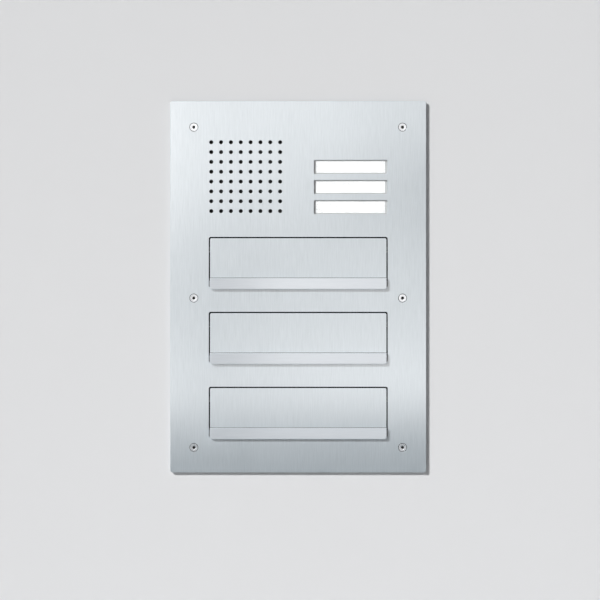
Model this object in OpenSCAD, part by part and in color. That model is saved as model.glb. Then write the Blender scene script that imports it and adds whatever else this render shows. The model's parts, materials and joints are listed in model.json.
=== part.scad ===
// Front of a flush-mounted door station, with the wall box that holds it.
// A steel panel carries a speech grille, bell buttons with name plates, and
// letter flaps that open into chutes running through to the inner wall side.
// X runs to the right, the front faces -Y and Z is up. The origin is the
// middle of the panel on the wall's face. Sizes are in millimetres.

/* [Front panel] */
// Metal to the left and right of the letter openings
side_margin = 56.55; // [56:0.05:80]
// Head field, from the panel's top edge to the first letter field
head_h = 181.45; // [181.45:0.05:260]
// Foot field, from the last letter field to the panel's bottom edge
foot_h = 33.55; // [33:0.05:80]
// Thickness of the front plate
panel_t = 2.5; // [2.5:0.5:4]
// Corner radius of the front plate
panel_r = 3; // [1:0.5:8]
// Thickness of the rubber seal between plate and wall
gasket_t = 2; // [2:0.5:3]
// Width of the rubber seal
gasket_w = 18; // [8:0.5:18]
// How far the seal stays back from the plate's edge
gasket_inset = 4; // [2:0.5:6]

/* [Panel screws] */
// Thread diameter of the panel screws
screw_d = 6; // [5:0.5:6]
// Diameter of the countersunk head
screw_head_d = 12; // [11:0.5:12]
// Screw length under the plate
screw_reach = 15; // [12:1:20]
// Distance from the screws to the plate's side edge
screw_inset_x = 34.55; // [33:0.05:36]
// Distance from the upper screws to the plate's top edge
screw_inset_top = 38.2; // [36:0.1:50]
// Distance from the lower screws to the plate's bottom edge
screw_inset_foot = 36.4; // [36:0.1:50]
// How far the middle screws sit above the web between two flaps
screw_mid_lift = 2.25; // [-6:0.05:6]
// Width of the security socket across its flats
socket_af = 4; // [3:0.5:4]

/* [Speech grille] */
// Holes along each side of the square field
grille_n = 8; // [6:2:8]
// Distance between hole centres
grille_pitch = 14.45; // [14:0.05:15]
// Diameter of each hole
grille_hole_d = 5.8; // [4:0.1:7]
// From the left edge of the letter opening to the first holes
grille_inset = 0.6; // [0:0.1:10]
// From the plate's top edge to the middle of the field
grille_drop = 110.9; // [105:0.1:115]

/* [Bell buttons] */
// Width of a name plate's window in the panel
plate_w = 108; // [80:0.5:110]
// Height of a name plate's window
plate_h = 20.6; // [14:0.1:21]
// Corner radius of the window
plate_r = 1.8; // [0.8:0.1:4]
// Distance between the buttons
plate_pitch = 29.5; // [28:0.1:32]
// From the right edge of the letter opening to the windows
plate_inset = 0.2; // [0.2:0.1:10]
// From the plate's top edge to the middle of the first window
plate_drop = 96.6; // [80:0.1:98]
// How far a button's face sits behind the plate's front
plate_recess = 1.5; // [0.4:0.1:1.6]
// Gap round a button in its window
button_gap = 0.5; // [0.3:0.05:0.8]
// How far a button can be pressed
button_travel = 1.2; // [0.8:0.1:1.5]

/* [Letter flaps] */
// Width of a letter opening in the panel
opening_w = 262.4; // [260:0.1:330]
// Height of a letter opening
opening_h = 73.7; // [70:0.1:80]
// Corner radius of a letter opening
opening_r = 3; // [2:0.5:5]
// Distance between the letter fields
flap_pitch = 110; // [108:1:140]
// Gap round a flap in its opening
flap_gap = 1.5; // [1.4:0.1:2]
// Thickness of the flap's sheet
flap_t = 2; // [1.5:0.5:2.5]
// Height of the grip strip along the flap's foot
grip_h = 16.4; // [12:0.1:20]
// How far the grip strip stands out of the panel's front
grip_proud = 4.5; // [3:0.1:6]
// How far the grip strip laps over the panel below the opening
grip_lap = 2.8; // [1:0.1:4]
// Thickness of the grip strip's thin foot, in front of the finger groove
grip_foot_t = 1.8; // [1.5:0.1:2.5]
// Height of the finger groove
grip_groove_h = 8; // [5:0.5:9]
// Diameter of the hinge pin
pin_d = 3; // [2.5:0.1:3.6]
// How far the pin sits below the flap's top edge
pin_drop = 16; // [15:0.5:20]
// How far the pin sits behind the panel's front
pin_depth = 6.3; // [6:0.1:6.5]

/* [Letter chutes] */
// Sheet of the chutes
chute_wall = 1.5; // [1:0.25:2]
// How far a chute's inside stands back from the letter opening
chute_relief = 2.8; // [2.6:0.1:4]
// Width of the fixing flange round a chute
flange_lap = 10; // [9.5:0.5:11]
// How far the chutes come out of the wall box
chute_beyond = 12; // [5:1:60]
// Height of the turned-up sill behind a flap's foot
sill_h = 12.5; // [8:0.5:20]

/* [Wall box] */
// Depth of the box in the wall
box_d = 100; // [80:1:140]
// Sheet of the box
box_wall = 1.5; // [1:0.25:2]
// How far the panel laps over the box on every side
panel_lap = 24; // [23.5:0.5:24.5]
// Width of the turned-in edge along the top and bottom
box_lip = 8; // [6:0.5:8]
// Height between the fixing holes in each side wall
fixing_span = 300; // [120:5:380]
// Diameter of the fixing holes
fixing_d = 6.5; // [5:0.5:8]
// Outer diameter of the cable gland's thread
gland_d = 20; // [16:1:25]
// Diameter of the cable passage
cable_d = 12; // [6:1:12]

/* [Speech unit] */
// Depth of the cover behind the panel, from the wall's face
case_d = 44; // [40:1:60]
// Wall of the cover
case_wall = 2; // [1.5:0.5:2.5]
// Side of the loudspeaker's square frame
speaker_w = 94; // [92:0.5:94]
// Diameter of the loudspeaker's cone opening
speaker_d = 78; // [60:1:80]
// Diameter of the magnet
magnet_d = 44; // [30:1:50]

/* [Hidden] */
$fn = 64;
BUTTONS = 3;
FLAPS = 3;
side = [-1, 1];
panel_w = opening_w + 2 * side_margin;
panel_h = head_h + FLAPS * flap_pitch + foot_h;
panel_back = -gasket_t;
panel_front = panel_back - panel_t;
cut = 1; // overshoot of a cutting shape
fit = 0.05; // radial clearance of running fits and threads

// Letter fields
flap_w = opening_w - 2 * flap_gap;
flap_h = opening_h - 2 * flap_gap;
flap_back = panel_front + flap_t;
chute_w = opening_w + 2 * chute_relief;
chute_h = opening_h + 2 * chute_relief;
chute_end = box_d + chute_beyond;
flange_side = 5.5;
flange_w = chute_w + 2 * (chute_wall + flange_side);
flange_h = chute_h + 2 * chute_wall + 2 * flange_lap;
pin_y = panel_front + pin_depth;
pin_z = flap_h / 2 - pin_drop;
pin_r = pin_d / 2;
bush_r = pin_r + 1;
bush_lip_r = pin_r + 1.6;
bush_lip_t = 2;
ear_t = 1.5;
ear_r = 4.2;
ear_x = flap_w / 2 - 4.7;
coil_wire_r = 0.5;
coil_r = pin_r + 1.2;
coil_turns = 5;
coil_l = coil_turns * 1.9 * coil_wire_r;
coil_x = ear_x + ear_t + 0.4;
leg_up = 11;
leg_touch = 0.05; // play between a spring's leg and the flap
leg_lean = asin((pin_y - coil_r - coil_wire_r - flap_back - leg_touch) / leg_up);
leg_back = 8.2;
tab_t = 1.5;
buffer_r = 4;
buffer_x = 90;
buffer_gap = 0.3;

// Welded studs and their nuts
stud_r = 2;
stud_end = 8;
stud_x = 105;
stud_z = flange_h / 2 - 5;
nut_r = 7 / 2 / cos(30);
nut_t = 3.2;
small_stud_r = 1.5;
small_nut_r = 5.5 / 2 / cos(30);
small_nut_t = 2.4;
stud_clear = 0.2;
screw_clear = 0.3;
head_clear = 0.1;

// Wall box
box_w = panel_w - 2 * panel_lap;
box_h = panel_h - 2 * panel_lap;
rim_x = flange_w / 2 + 1;
rivet_head_r = 6.5;
rivet_head_t = 1.4;
rivet_r = 4.5;
rivet_l = 12;
fixing_y = box_d / 2;
chute_slip = 1;
gland_x = 60;
gland_z = panel_h / 2 - 67.5;
gland_r = gland_d / 2;
cable_r = cable_d / 2;

// Places of the screws
screw_x = panel_w / 2 - screw_inset_x;
screw_rows = [
    panel_h / 2 - screw_inset_top,
    (flap_z(1) + flap_z(2)) / 2 + screw_mid_lift,
    screw_inset_foot - panel_h / 2
];

// Speech unit
grille_span = (grille_n - 1) * grille_pitch;
grille_x = -opening_w / 2 + grille_inset + (grille_span + grille_hole_d) / 2;
grille_z = panel_h / 2 - grille_drop;
mesh_t = 0.5;
mesh_w = grille_span + grille_hole_d + 2;
speaker_stud = 3 * grille_pitch;
foam_t = 2;
mic_r = 3;
mic_boot_r = 4.5;
ear_h = 10;
ear_w = 14;
case_ear_t = 2.5;
case_w = flange_w - 4;
case_z0 = flap_z(1) + flange_h / 2 + 1.7 + ear_h;
case_z1 = box_h / 2 - box_lip - 4.5 - ear_h;
case_stud_x = 110;
divider_z = flap_z(1) + flange_h / 2 + 2.7;
divider_front = 14;

// Bell buttons
plate_x = opening_w / 2 - plate_inset - plate_w / 2;
button_w = plate_w - 2 * button_gap;
button_h = plate_h - 2 * button_gap;
button_front = panel_front + plate_recess;
window_t = 0.9;
label_t = 0.3;
label_rim_x = 3;
label_rim_z = 1.3;
cap_front = button_front + window_t + label_t;
cap_lip = 2;
cap_rest = panel_back + 0.3;
cap_back = cap_rest + cap_lip;
frame_lap_x = 5;
frame_lap_z = 5;
frame_back = 8;
board_front = 9.5;
board_t = 1.6;
board_back = board_front + board_t;
frame_w = plate_w + 2 * frame_lap_x;
frame_h = (BUTTONS - 1) * plate_pitch + plate_h + 2 * frame_lap_z;
frame_z = plate_z(2);
frame_stud_x = plate_w / 2 - 4;
stud_part_gap = 10;
relay_w = 16;
relay_x = frame_stud_x - stud_part_gap - relay_w;
capacitor_r = 4;
capacitor_x = stud_part_gap - frame_stud_x;
chip_x = capacitor_x + 6;
switch_w = 6;
switch_front = 5.5;
plunger_r = 1.7;
plunger_play = 0.08;
plunger_l = 2.65;
post_r = 1.5;
spring_x = plate_w / 2 - 9;
spring_r = 2.6;
spring_wire_r = 0.3;
led_x = 25;
led_r = 1.5;
term_n = 6;
term_pitch = 9;
term_d = 12;
term_h = 11;
term_x = plate_x + 10;
term_z = plate_z(3) + 3;
case_hole_x = plate_x - 40;
case_hole_z = term_z;

function flap_z(i) = panel_h / 2 - head_h - (i - 0.5) * flap_pitch;
function plate_z(i) = panel_h / 2 - plate_drop - (i - 1) * plate_pitch;
function grille_at(k) = (k - (grille_n - 1) / 2) * grille_pitch;

// A flat outline in the X-Z plane, given thickness from y0 back to y1
module sheet(y0, y1) {
    translate([0, y1, 0]) rotate([90, 0, 0]) linear_extrude(y1 - y0) children();
}

// A round bar along Y
module rod_y(r, y0, y1) {
    translate([0, y0, 0]) rotate([-90, 0, 0]) cylinder(r = r, h = y1 - y0);
}

// A round bar along X
module rod_x(r, x0, x1) {
    translate([x0, 0, 0]) rotate([0, 90, 0]) cylinder(r = r, h = x1 - x0);
}

// A rectangle with round corners
module rounded(w, h, r) {
    square([w - 2 * r, h], center = true);
    square([w, h - 2 * r], center = true);
    for (sx = side, sz = side)
        translate([sx * (w / 2 - r), sz * (h / 2 - r)]) circle(r);
}

// A rectangle between two heights
module band(w, z0, z1) {
    translate([-w / 2, z0]) square([w, z1 - z0]);
}

// Copies the children to all four corners of a rectangle
module corners(x, z) {
    for (sx = side, sz = side) translate([sx * x, 0, sz * z]) children();
}

module at_screws() {
    for (sx = side, z = screw_rows) translate([sx * screw_x, 0, z]) children();
}

module at_flap(i) {
    translate([0, 0, flap_z(i)]) children();
}

module at_button(i) {
    translate([plate_x, 0, plate_z(i)]) children();
}

module at_chute_studs() {
    for (i = [1 : FLAPS]) at_flap(i) corners(stud_x, stud_z) children();
}

module at_case_studs() {
    for (sx = side, z = [case_z0 - ear_h / 2, case_z1 + ear_h / 2])
        translate([sx * case_stud_x, 0, z]) children();
}

module at_speaker_studs() {
    translate([grille_x, 0, grille_z]) corners(speaker_stud, speaker_stud) children();
}

module at_frame_studs() {
    translate([plate_x, 0, frame_z]) corners(frame_stud_x, plate_pitch / 2) children();
}

// A nut from y0 backwards, cleared for its stud
module nut(r, t, hole_r, y0) {
    difference() {
        translate([0, y0, 0]) rotate([-90, 0, 0]) cylinder(r = r, h = t, $fn = 6);
        rod_y(hole_r + fit, y0 - cut, y0 + t + cut);
    }
}

// ---- Panel ----

module front_panel() {
    head_r = screw_head_d / 2;
    color("lightsteelblue") difference() {
        union() {
            sheet(panel_front, panel_back) rounded(panel_w, panel_h, panel_r);
            at_chute_studs() rod_y(stud_r, panel_back, stud_end);
            at_case_studs() rod_y(stud_r, panel_back, stud_end);
            at_speaker_studs() rod_y(small_stud_r, panel_back, stud_end);
            at_frame_studs() rod_y(small_stud_r, panel_back, board_back + small_nut_t + 1);
        }
        for (i = [1 : FLAPS]) at_flap(i)
            sheet(panel_front - cut, panel_back + cut) rounded(opening_w, opening_h, opening_r);
        for (i = [1 : BUTTONS]) at_button(i)
            sheet(panel_front - cut, panel_back + cut) rounded(plate_w, plate_h, plate_r);
        translate([grille_x, 0, grille_z])
            for (ix = [0 : grille_n - 1], iz = [0 : grille_n - 1])
                translate([grille_at(ix), 0, grille_at(iz)])
                    rod_y(grille_hole_d / 2, panel_front - cut, panel_back + cut);
        at_screws() {
            rod_y(screw_d / 2 + screw_clear, panel_front - cut, panel_back + cut);
            translate([0, panel_front, 0]) rotate([-90, 0, 0])
                cylinder(r1 = head_r + head_clear, r2 = screw_d / 2 + head_clear,
                    h = head_r - screw_d / 2);
        }
    }
}

module panel_gasket() {
    outer_w = panel_w - 2 * gasket_inset;
    outer_h = panel_h - 2 * gasket_inset;
    color("dimgray") sheet(panel_back, 0) difference() {
        rounded(outer_w, outer_h, panel_r);
        rounded(outer_w - 2 * gasket_w, outer_h - 2 * gasket_w, panel_r);
    }
}

module panel_screws() {
    head_r = screw_head_d / 2;
    shank_r = screw_d / 2;
    socket_depth = 2;
    guard_r = 0.7;
    guard_sink = 0.5;
    color("silver") at_screws() {
        difference() {
            union() {
                translate([0, panel_front, 0]) rotate([-90, 0, 0])
                    cylinder(r1 = head_r, r2 = shank_r, h = head_r - shank_r);
                rod_y(shank_r, panel_back - cut / 2, panel_back + screw_reach);
            }
            translate([0, panel_front - cut, 0]) rotate([-90, 0, 0])
                cylinder(r = socket_af / 2 / cos(30), h = socket_depth + cut, $fn = 6);
        }
        rod_y(guard_r, panel_front + guard_sink, panel_front + socket_depth + cut / 4);
    }
}

// ---- Wall box ----

module wall_box() {
    inner_w = box_w - 2 * box_wall;
    inner_h = box_h - 2 * box_wall;
    color("darkgray") difference() {
        sheet(0, box_d) square([box_w, box_h], center = true);
        sheet(box_wall, box_d - box_wall) square([inner_w, inner_h], center = true);
        sheet(-cut, box_wall + cut) square([2 * rim_x, box_h - 2 * box_lip], center = true);
        for (i = [1 : FLAPS]) at_flap(i) sheet(box_d - box_wall - cut, box_d + cut)
            rounded(chute_w + 2 * (chute_wall + chute_slip),
                chute_h + 2 * (chute_wall + chute_slip), 3);
        at_screws() rod_y(rivet_r + fit, -cut, box_wall + cut);
        for (sx = side, sz = side)
            translate([sx * box_w / 2, fixing_y, sz * fixing_span / 2])
                rod_x(fixing_d / 2, -box_wall - cut, box_wall + cut);
        translate([gland_x, 0, gland_z])
            rod_y(gland_r + fit, box_d - box_wall - cut, box_d + cut);
    }
}

module box_divider() {
    inner_w = box_w - 2 * box_wall;
    fold_h = 12;
    color("gray") {
        translate([-inner_w / 2, divider_front, divider_z])
            cube([inner_w, box_d - box_wall - divider_front, box_wall]);
        for (sx = side) translate([sx * (inner_w - box_wall) / 2, 0, divider_z + box_wall])
            translate([-box_wall / 2, divider_front, 0])
                cube([box_wall, box_d - box_wall - divider_front, fold_h]);
    }
}

module rivet_nuts() {
    color("goldenrod") at_screws() difference() {
        union() {
            rod_y(rivet_head_r, -rivet_head_t, 0);
            rod_y(rivet_r, -cut / 2, rivet_l);
        }
        rod_y(screw_d / 2 + fit, -rivet_head_t - cut, rivet_l + cut);
    }
}

module gland_body() {
    color("black") translate([gland_x, 0, gland_z]) difference() {
        union() {
            rod_y(gland_r, box_d - box_wall - 9, box_d + 14);
            translate([0, box_d, 0]) rotate([-90, 0, 0])
                cylinder(r = gland_r + 3.5, h = 6, $fn = 6);
        }
        rod_y(cable_r, box_d - box_wall - 9 - cut, box_d + 14 + cut);
    }
}

module gland_cap() {
    cap_r = gland_r + 3;
    y0 = box_d + 6.3;
    color("black") translate([gland_x, 0, gland_z]) difference() {
        union() {
            rod_y(cap_r, y0, y0 + 11);
            translate([0, y0 + 11, 0]) rotate([-90, 0, 0])
                cylinder(r1 = cap_r, r2 = cable_r + 2.5, h = 4);
        }
        rod_y(gland_r + fit, y0 - cut, y0 + 8.2);
        rod_y(cable_r, y0, y0 + 16);
    }
}

module gland_locknut() {
    back = box_d - box_wall;
    color("dimgray") translate([gland_x, 0, gland_z]) difference() {
        translate([0, back - 5, 0]) rotate([-90, 0, 0])
            cylinder(r = gland_r + 3.5, h = 5, $fn = 6);
        rod_y(gland_r + fit, back - 5 - cut, back + cut);
    }
}

// ---- Letter chutes and flaps ----

module letter_chute(i) {
    wall_w = chute_w + 2 * chute_wall;
    wall_h = chute_h + 2 * chute_wall;
    tab_l = 5.5;
    tab_top = pin_z - coil_r - coil_wire_r;
    color("gainsboro") at_flap(i) {
        difference() {
            union() {
                sheet(panel_back, panel_back + chute_wall) rounded(flange_w, flange_h, 2);
                sheet(panel_back, chute_end) square([wall_w, wall_h], center = true);
            }
            sheet(panel_back - cut, chute_end + cut) square([chute_w, chute_h], center = true);
            corners(stud_x, stud_z)
                rod_y(stud_r + stud_clear, panel_back - cut, panel_back + chute_wall + cut);
            translate([0, pin_y, pin_z]) rod_x(bush_r, -wall_w / 2 - cut, wall_w / 2 + cut);
        }
        sheet(0, chute_wall) band(chute_w, -chute_h / 2, sill_h - chute_h / 2);
        for (sx = side) translate([sx * (chute_w - tab_l) / 2, 7, tab_top - tab_t])
            translate([-tab_l / 2, 0, 0]) cube([tab_l, 4, tab_t]);
    }
}

module hinge_bushes() {
    wall_x = chute_w / 2;
    color("ivory") for (i = [1 : FLAPS], sx = side) at_flap(i)
        translate([0, pin_y, pin_z]) mirror([sx < 0 ? 1 : 0, 0, 0]) difference() {
            union() {
                rod_x(bush_lip_r, wall_x - bush_lip_t, wall_x);
                rod_x(bush_r, wall_x - cut, wall_x + chute_wall);
            }
            rod_x(pin_r + fit, wall_x - bush_lip_t - cut, wall_x + chute_wall + cut);
        }
}

module flap_buffers() {
    color("black") for (i = [1 : FLAPS], sx = side) at_flap(i)
        translate([sx * buffer_x, 0, sill_h - chute_h / 2 - buffer_r])
            rod_y(buffer_r, flap_back + buffer_gap, 0);
}

module flap_plate(i) {
    color("lightsteelblue") at_flap(i) {
        sheet(panel_front, flap_back) rounded(flap_w, flap_h, opening_r - flap_gap / 2);
        for (sx = side) mirror([sx < 0 ? 1 : 0, 0, 0]) translate([ear_x, 0, pin_z])
            difference() {
                union() {
                    translate([0, pin_y, 0]) rod_x(ear_r, 0, ear_t);
                    translate([0, flap_back - flap_t / 2, -ear_r])
                        cube([ear_t, pin_y - flap_back + flap_t / 2, 2 * ear_r]);
                }
                translate([0, pin_y, 0]) rod_x(pin_r, -cut, ear_t + cut);
            }
    }
}

// A bar on the flap's foot, with a finger groove along its back
module flap_grip(i) {
    front = panel_front - grip_proud;
    foot = -opening_h / 2 - grip_lap;
    outline_h = 2 * grip_h;
    color("silver") at_flap(i) intersection() {
        translate([-flap_w / 2, 0, 0]) rotate([90, 0, 90]) linear_extrude(flap_w)
            difference() {
                translate([front, foot]) square([grip_proud, grip_h]);
                translate([front + grip_foot_t, foot - cut])
                    square([grip_proud, grip_groove_h + cut]);
            }
        translate([0, 0, foot + outline_h / 2]) sheet(front - cut, panel_front + cut)
            rounded(flap_w, outline_h, opening_r);
    }
}

module hinge_pin(i) {
    end = chute_w / 2 + chute_wall - 0.1;
    color("dimgray") at_flap(i) translate([0, pin_y, pin_z]) rod_x(pin_r, -end, end);
}

// A close-wound coil along Z, as a sleeve with one ridge for each turn
module coil(r, wire_r, length, turns) {
    step = length / turns;
    waist = wire_r / 2;
    rotate_extrude() polygon([
        [r - waist, 0],
        [r + waist, 0],
        for (k = [0 : turns - 1], edge = [[0.5, wire_r], [1, waist]])
            [r + edge[1], (k + edge[0]) * step],
        [r - waist, length],
        for (k = [turns - 1 : -1 : 0], edge = [[0.5, wire_r]])
            [r - edge[1], (k + edge[0]) * step]
    ]);
}

// Two coils on the pin: one leg presses on the flap above the pin, the other
// leg rests on the chute's tab
module flap_springs(i) {
    color("slategray") at_flap(i) for (sx = side)
        mirror([sx < 0 ? 1 : 0, 0, 0]) translate([coil_x, pin_y, pin_z]) {
            rotate([0, 90, 0]) coil(coil_r, coil_wire_r, coil_l, coil_turns);
            translate([coil_wire_r, -coil_r, 0]) rotate([leg_lean, 0, 0])
                cylinder(r = coil_wire_r, h = leg_up);
            translate([coil_l - coil_wire_r, 0, -coil_r]) rod_y(coil_wire_r, 0, leg_back);
        }
}

// ---- Fasteners on the welded studs ----

module stud_nuts() {
    color("silver") {
        at_chute_studs() nut(nut_r, nut_t, stud_r, panel_back + chute_wall);
        at_case_studs() nut(nut_r, nut_t, stud_r, panel_back + case_ear_t);
    }
}

module small_nuts() {
    color("silver") {
        at_speaker_studs()
            nut(small_nut_r, small_nut_t, small_stud_r, panel_back + mesh_t + foam_t + 1.5);
        at_frame_studs() nut(small_nut_r, small_nut_t, small_stud_r, board_back);
    }
}

// ---- Speech unit ----

module intercom_case() {
    mid = (case_z0 + case_z1) / 2;
    height = case_z1 - case_z0;
    color("darkslategray") difference() {
        union() {
            translate([0, 0, mid]) sheet(panel_back, case_d) rounded(case_w, height, 4);
            at_case_studs() sheet(panel_back, panel_back + case_ear_t)
                square([ear_w, ear_h], center = true);
        }
        translate([0, 0, mid]) sheet(panel_back - cut, case_d - case_wall)
            rounded(case_w - 2 * case_wall, height - 2 * case_wall, 4 - case_wall);
        at_case_studs() rod_y(stud_r + stud_clear, panel_back - cut, case_d);
        translate([case_hole_x, 0, case_hole_z])
            rod_y(cable_r, case_d - case_wall - cut, case_d + cut);
    }
}

module grille_mesh() {
    color("black") translate([grille_x, 0, grille_z])
        sheet(panel_back, panel_back + mesh_t) difference() {
            square(mesh_w, center = true);
            for (sx = side, sz = side)
                translate([sx * speaker_stud, sz * speaker_stud]) circle(small_stud_r + stud_clear);
        }
}

module speaker_gasket() {
    y0 = panel_back + mesh_t;
    color("dimgray") translate([grille_x, 0, grille_z]) sheet(y0, y0 + foam_t) difference() {
        square(speaker_w, center = true);
        circle(speaker_d / 2 + 3);
        for (sx = side, sz = side)
            translate([sx * speaker_stud, sz * speaker_stud]) circle(small_stud_r + stud_clear);
    }
}

// Where the loudspeaker's frame begins, with its axis pointing back
module at_speaker() {
    translate([grille_x, panel_back + mesh_t + foam_t, grille_z]) rotate([-90, 0, 0]) children();
}

module speaker_basket() {
    rim_r = speaker_d / 2;
    neck_r = magnet_d / 2 - 2;
    color("gray") at_speaker() {
        linear_extrude(1.5) difference() {
            square(speaker_w, center = true);
            circle(rim_r);
            for (sx = side, sz = side)
                translate([sx * speaker_stud, sz * speaker_stud]) circle(small_stud_r + stud_clear);
        }
        difference() {
            rotate_extrude() polygon([
                [rim_r, 0], [rim_r + 1.5, 0], [rim_r + 1.5, 3], [neck_r + 1.5, 20],
                [neck_r + 1.5, 21.5], [13, 21.5], [13, 20], [neck_r, 20], [rim_r, 3]
            ]);
            for (k = [0 : 5]) rotate([0, 0, 60 * k]) translate([neck_r + 4, -7, 6])
                cube([9, 14, 12]);
        }
    }
}

module speaker_surround() {
    rim_r = speaker_d / 2;
    color("black") at_speaker() rotate_extrude() difference() {
        union() {
            translate([rim_r - 5.5, 0.6]) square([5.4, 0.8]);
            translate([rim_r - 3, 1.2]) circle(1.8);
        }
        translate([rim_r - 3, 1.6]) circle(1.2);
    }
}

module speaker_cone() {
    rim_r = speaker_d / 2 - 5.6;
    color("dimgray") at_speaker() rotate_extrude()
        polygon([[rim_r, 0.6], [rim_r, 1.4], [11, 13.6], [9, 13.6], [9, 12.6], [10.6, 12.6]]);
}

module speaker_dust_cap() {
    cap_r = 10.3;
    color("black") at_speaker() translate([0, 0, 12.5]) intersection() {
        translate([0, 0, 5]) difference() {
            sphere(r = 11.5);
            sphere(r = 10.7);
        }
        translate([0, 0, -8]) cylinder(r = cap_r - 1.4, h = 8);
    }
}

module speaker_magnet() {
    color("dimgray") at_speaker() {
        translate([0, 0, 21.5]) cylinder(r = magnet_d / 2, h = 3);
        translate([0, 0, 24.5]) cylinder(r = magnet_d / 2 + 2, h = 8);
        translate([0, 0, 32.5]) cylinder(r = magnet_d / 2, h = 3);
    }
}

// Behind the last hole at the lower right of the grille
module at_microphone() {
    translate([grille_x + grille_span / 2, panel_back + mesh_t, grille_z - grille_span / 2])
        children();
}

module microphone() {
    color("silver") at_microphone() rod_y(mic_r, 1, 5);
}

module microphone_boot() {
    color("black") at_microphone() difference() {
        rod_y(mic_boot_r, 0, 7);
        rod_y(mic_r, 1, 5);
        rod_y(1.5, -cut, 2);
        rod_y(1, 4, 8);
    }
}

// ---- Bell buttons and their board ----

module button_frame() {
    color("dimgray") difference() {
        translate([plate_x, 0, frame_z]) {
            sheet(panel_back, frame_back) rounded(frame_w, frame_h, 2);
            corners(frame_stud_x, plate_pitch / 2) rod_y(2.4, frame_back - cut, board_front);
        }
        for (i = [1 : BUTTONS]) at_button(i) sheet(panel_back - cut, frame_back + cut)
            rounded(button_w + 2 * cap_lip + 2 * button_gap,
                button_h + 2 * cap_lip + 2 * button_gap, plate_r);
        at_frame_studs() rod_y(small_stud_r + stud_clear, panel_back - cut, board_front + cut);
    }
}

module button_cap(i) {
    color("white") at_button(i) {
        difference() {
            union() {
                sheet(cap_front, cap_rest + cut) rounded(button_w, button_h, plate_r - button_gap);
                sheet(cap_rest, cap_back)
                    rounded(button_w + 2 * cap_lip, button_h + 2 * cap_lip, plate_r);
            }
            sheet(cap_back - 1, cap_back + cut) difference() {
                square([button_w - 6, button_h - 6], center = true);
                square([switch_w + 4, button_h], center = true);
                for (sx = side) translate([sx * spring_x, 0]) circle(spring_r + 1.5);
            }
        }
        rod_y(plunger_r + 0.5, cap_back - 0.5, switch_front - button_travel - 0.5);
        for (sx = side) translate([sx * spring_x, 0, 0])
            rod_y(post_r, cap_back - 0.5, cap_back + 4);
    }
}

module name_label(i) {
    color("ivory") at_button(i) sheet(cap_front - label_t, cap_front)
        square([button_w - 2 * label_rim_x, button_h - 2 * label_rim_z], center = true);
}

// A clear cover with a shallow pocket for the label
module label_window(i) {
    color("azure") at_button(i) difference() {
        sheet(button_front, cap_front) rounded(button_w, button_h, plate_r - button_gap);
        sheet(cap_front - label_t, cap_front + cut)
            square([button_w - 2 * label_rim_x, button_h - 2 * label_rim_z], center = true);
    }
}

module switch_plunger(i) {
    y0 = switch_front - button_travel - 0.5;
    color("black") at_button(i) rod_y(plunger_r, y0, y0 + plunger_l);
}

// Two coils between the cap and the board
module button_springs(i) {
    turns = 8;
    color("slategray") at_button(i) for (sx = side)
        translate([sx * spring_x, cap_back, 0]) rotate([-90, 0, 0])
            coil(spring_r, spring_wire_r, board_front - cap_back, turns);
}

module circuit_board() {
    color("darkgreen") difference() {
        translate([plate_x, 0, frame_z]) sheet(board_front, board_back)
            rounded(frame_w, frame_h, 2);
        at_frame_studs() rod_y(small_stud_r + stud_clear, board_front - cut, board_back + cut);
    }
}

module bell_switches() {
    depth = button_travel + 1.1;
    color("dimgray") for (i = [1 : BUTTONS]) at_button(i) difference() {
        sheet(switch_front, board_front) square(switch_w, center = true);
        rod_y(plunger_r + plunger_play, switch_front - cut, switch_front + depth);
    }
}

module backlight_leds() {
    color("lightyellow") for (i = [1 : BUTTONS], sx = side) at_button(i)
        translate([sx * led_x, 0, 0]) {
            rod_y(led_r, board_front - 2, board_front);
            translate([0, board_front - 2, 0]) sphere(r = led_r);
        }
}

module board_components() {
    color("black") translate([plate_x, board_back, frame_z]) {
        translate([chip_x, 0, 6]) cube([20, 2.4, 13]);
        translate([-2, 0, 20]) cube([14, 1.8, 9]);
        translate([relay_x, 0, 2]) cube([relay_w, 14, 13]);
        for (k = [0 : 2]) translate([capacitor_x + 12 * k, 0, -14]) rod_y(capacitor_r, 0, 11);
        for (k = [0 : 5]) translate([-10 + 7 * k, 0, 34]) cube([3.2, 1.2, 1.6]);
    }
}

module terminal_block() {
    color("seagreen") translate([term_x, board_back, term_z])
        for (k = [0 : term_n - 1]) translate([(k - term_n / 2) * term_pitch, 0, -term_h / 2])
            difference() {
                cube([term_pitch, term_d, term_h]);
                translate([term_pitch / 2, 0, term_h / 2]) rod_y(2.6, term_d - 4, term_d + cut);
                translate([term_pitch / 2 - 2, 3, -cut]) cube([4, 4, 5]);
            }
}

module terminal_screws() {
    color("silver") translate([term_x, board_back, term_z])
        for (k = [0 : term_n - 1]) translate([(k + 0.5 - term_n / 2) * term_pitch, 0, 0])
            difference() {
                rod_y(2.5, term_d - 4, term_d - 1);
                translate([-3, term_d - 1.8, -0.4]) cube([6, 2, 0.8]);
            }
}

front_panel();
panel_gasket();
panel_screws();
wall_box();
box_divider();
rivet_nuts();
letter_chute(1);  // letter_chute_1
letter_chute(2);  // letter_chute_2
letter_chute(3);  // letter_chute_3
hinge_bushes();
flap_buffers();
stud_nuts();
small_nuts();
intercom_case();
grille_mesh();
speaker_gasket();
speaker_basket();
speaker_surround();
speaker_cone();
speaker_dust_cap();
speaker_magnet();
microphone();
microphone_boot();
button_frame();
circuit_board();
board_components();
terminal_block();
terminal_screws();
bell_switches();
backlight_leds();
gland_body();
gland_cap();
gland_locknut();
button_cap(1);  // button_cap_1
button_cap(2);  // button_cap_2
button_cap(3);  // button_cap_3
name_label(1);  // name_label_1
name_label(2);  // name_label_2
name_label(3);  // name_label_3
label_window(1);  // label_window_1
label_window(2);  // label_window_2
label_window(3);  // label_window_3
switch_plunger(1);  // switch_plunger_1
switch_plunger(2);  // switch_plunger_2
switch_plunger(3);  // switch_plunger_3
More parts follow.
